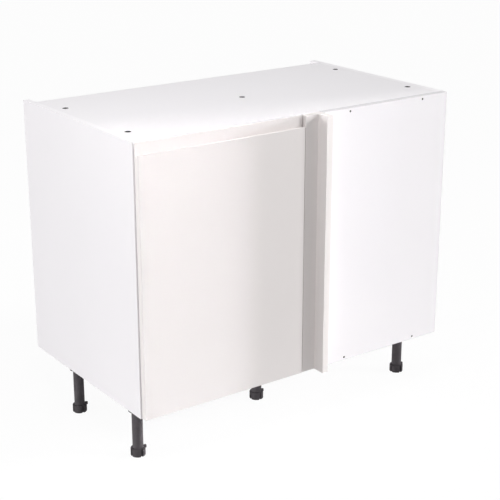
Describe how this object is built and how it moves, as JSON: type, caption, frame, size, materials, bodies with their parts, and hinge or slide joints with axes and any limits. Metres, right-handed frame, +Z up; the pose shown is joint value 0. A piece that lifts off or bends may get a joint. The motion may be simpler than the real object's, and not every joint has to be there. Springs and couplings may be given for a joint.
{
  "type": "blind corner base cabinet",
  "caption": "Floor-standing kitchen corner base cabinet with one hinged pull-lip door, a corner post, a fixed blind panel and adjustable screw feet.",
  "frame": {"origin": "centre of the floor area the cabinet covers, on the floor", "axes": "+X to the right seen from the front, +Y to the back, +Z up"},
  "size_m": [1, 0.6256, 0.875],
  "materials": {
    "carcass_board": "white faced board, satin",
    "front_board": "off-white wrapped board, matt",
    "leg_plastic": "black moulded plastic",
    "plated_steel": "bright plated",
    "dark_screw": "dark",
    "bumper": "soft clear pad",
    "dowel_wood": "plain beech"
  },
  "bodies": {
    "carcass": {"back_panel": "carcass_board", "back_panel_screws": "plated_steel", "base_panel": "carcass_board", "blind_panel": "carcass_board", "blind_panel_screws": "dark_screw", "carcass_dowels": "dowel_wood", "centre_stile": "carcass_board", "hinge_arm_lower": "plated_steel", "hinge_arm_pins": "plated_steel", "hinge_arm_screws": "plated_steel", "hinge_arm_upper": "plated_steel", "left_side_panel": "carcass_board", "leg_socket_front_left": "leg_plastic", "leg_socket_front_right": "leg_plastic", "leg_socket_middle": "leg_plastic", "leg_socket_rear_left": "leg_plastic", "leg_socket_rear_right": "leg_plastic", "leg_socket_screws": "plated_steel", "leg_tube_front_left": "leg_plastic", "leg_tube_front_right": "leg_plastic", "leg_tube_middle": "leg_plastic", "leg_tube_rear_left": "leg_plastic", "leg_tube_rear_right": "leg_plastic", "mounting_plate_lower": "plated_steel", "mounting_plate_screws": "plated_steel", "mounting_plate_upper": "plated_steel", "post_fixing_screws": "plated_steel", "post_front_leg": "front_board", "post_joining_screws": "plated_steel", "post_return_leg": "front_board", "right_side_panel": "carcass_board", "shelf": "carcass_board", "shelf_pegs": "plated_steel", "stile_dowels": "dowel_wood", "top_panel": "carcass_board"},
    "door": {"door_panel": "front_board", "door_bumpers": "bumper", "hinge_cup_upper": "plated_steel", "hinge_cup_lower": "plated_steel", "hinge_cup_screws": "plated_steel", "hinge_cup_pins": "plated_steel"},
    "outer_link_upper": {"outer_link_upper": "plated_steel"},
    "inner_link_upper": {"inner_link_upper": "plated_steel"},
    "outer_link_lower": {"outer_link_lower": "plated_steel"},
    "inner_link_lower": {"inner_link_lower": "plated_steel"},
    "foot_front_left": {"leg_foot_front_left": "leg_plastic"},
    "foot_front_right": {"leg_foot_front_right": "leg_plastic"},
    "foot_rear_left": {"leg_foot_rear_left": "leg_plastic"},
    "foot_rear_right": {"leg_foot_rear_right": "leg_plastic"},
    "foot_middle": {"leg_foot_middle": "leg_plastic"}
  },
  "joints": [
    {"name": "outer_link_upper_swing", "type": "hinge", "parent": "carcass", "child": "outer_link_upper", "pos_m": [-0.46224, -0.24665, 0.7725], "axis": [0, 0, 1], "range_deg": [0, 24.9]},
    {"name": "outer_link_lower_swing", "type": "hinge", "parent": "carcass", "child": "outer_link_lower", "pos_m": [-0.46224, -0.24665, 0.2575], "axis": [0, 0, 1], "range_deg": [0, 24.9]},
    {"name": "door_swing", "type": "hinge", "parent": "outer_link_upper", "child": "door", "pos_m": [-0.4875, -0.26278, 0.7725], "axis": [0, 0, -1], "range_deg": [0, 134.86]},
    {"name": "inner_link_upper_swing", "type": "hinge", "parent": "door", "child": "inner_link_upper", "pos_m": [-0.48654, -0.2687, 0.7725], "axis": [0, 0, 1], "range_deg": [0, 116.2]},
    {"name": "inner_link_lower_swing", "type": "hinge", "parent": "door", "child": "inner_link_lower", "pos_m": [-0.48654, -0.2687, 0.2575], "axis": [0, 0, 1], "range_deg": [0, 116.2]},
    {"name": "foot_front_left_screw", "type": "slide", "parent": "carcass", "child": "foot_front_left", "axis": [0, 0, -1], "range_m": [0, 0.025]},
    {"name": "foot_front_right_screw", "type": "slide", "parent": "carcass", "child": "foot_front_right", "axis": [0, 0, -1], "range_m": [0, 0.025]},
    {"name": "foot_rear_left_screw", "type": "slide", "parent": "carcass", "child": "foot_rear_left", "axis": [0, 0, -1], "range_m": [0, 0.025]},
    {"name": "foot_rear_right_screw", "type": "slide", "parent": "carcass", "child": "foot_rear_right", "axis": [0, 0, -1], "range_m": [0, 0.025]},
    {"name": "foot_middle_screw", "type": "slide", "parent": "carcass", "child": "foot_middle", "axis": [0, 0, -1], "range_m": [0, 0.025]}
  ],
  "couplings": [
    {"joint": "outer_link_upper_swing", "follows": "door_swing", "ratio": 0.18434},
    {"joint": "inner_link_upper_swing", "follows": "door_swing", "ratio": 0.86134},
    {"joint": "outer_link_lower_swing", "follows": "door_swing", "ratio": 0.18434},
    {"joint": "inner_link_lower_swing", "follows": "door_swing", "ratio": 0.86134}
  ]
}
